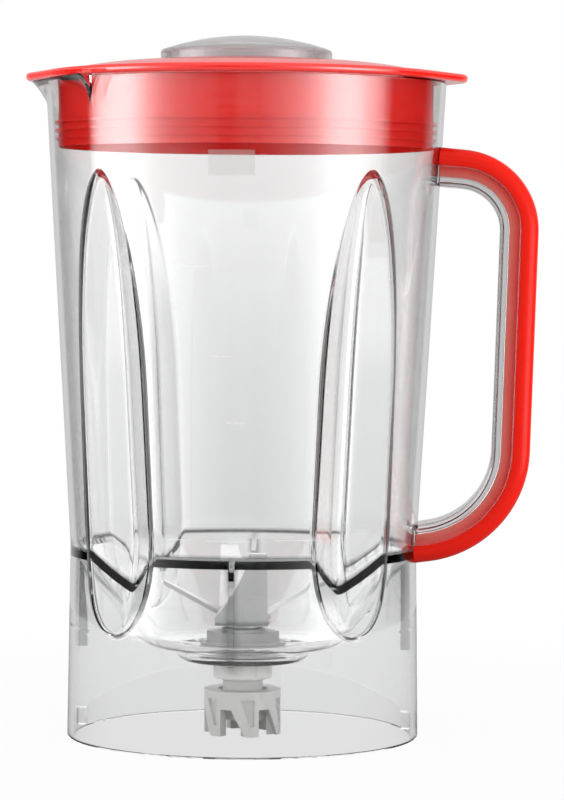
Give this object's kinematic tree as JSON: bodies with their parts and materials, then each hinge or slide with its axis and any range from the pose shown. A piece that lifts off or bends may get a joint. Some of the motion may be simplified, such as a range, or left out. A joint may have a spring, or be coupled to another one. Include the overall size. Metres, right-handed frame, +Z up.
{
  "type": "blender jar",
  "caption": "Clear fluted blender jar with pouring spout, loop handle with red grip strip, red lid with clear dosing cap, and a bent-wing blade set driven by a toothed coupling under its floor.",
  "frame": {"origin": "on the blade axis, in the plane of the rim that the jar stands on", "axes": "+Z up along the blade axis, +X towards the handle, -X towards the spout, -Y to the front"},
  "size_m": [0.1947, 0.1552, 0.2654],
  "materials": {
    "clear_plastic": "clear moulded plastic, polished",
    "cap_plastic": "clear moulded plastic, faintly smoky",
    "red_plastic": "bright red moulded plastic, glossy",
    "lid_plastic": "bright red moulded plastic, glossy",
    "silicone": "grey silicone rubber",
    "housing_plastic": "pale grey moulded plastic",
    "nut_plastic": "white moulded plastic",
    "coupling_plastic": "white moulded plastic",
    "bronze": "sintered bronze and brass",
    "shaft_steel": "ground steel",
    "washer_steel": "plain steel",
    "blade_steel": "stamped stainless steel",
    "nut_steel": "stainless steel"
  },
  "bodies": {
    "jar": {"jar_body": "clear_plastic", "handle_insert": "red_plastic", "base_gasket": "silicone", "blade_base": "housing_plastic", "retaining_nut": "nut_plastic", "upper_bush": "bronze", "lower_bush": "bronze", "shaft_seal": "silicone"},
    "lid": {"lid": "lid_plastic"},
    "cap": {"dosing_cap": "cap_plastic"},
    "rotor": {"drive_shaft": "shaft_steel", "upper_washer": "washer_steel", "lower_washer": "washer_steel", "steep_blade": "blade_steel", "blade_spacer": "washer_steel", "spread_blade": "blade_steel", "blade_nut": "nut_steel", "drive_coupling": "coupling_plastic", "coupling_insert": "bronze"}
  },
  "joints": [
    {"name": "blade_spin", "type": "hinge", "parent": "jar", "child": "rotor", "pos_m": [0, 0, 0.03], "axis": [0, 0, 1], "continuous": true},
    {"name": "lid_lift", "type": "slide", "parent": "jar", "child": "lid", "axis": [0, 0, 1], "range_m": [0, 0.06]},
    {"name": "cap_lift", "type": "slide", "parent": "lid", "child": "cap", "axis": [0, 0, 1], "range_m": [0, 0.04]}
  ]
}
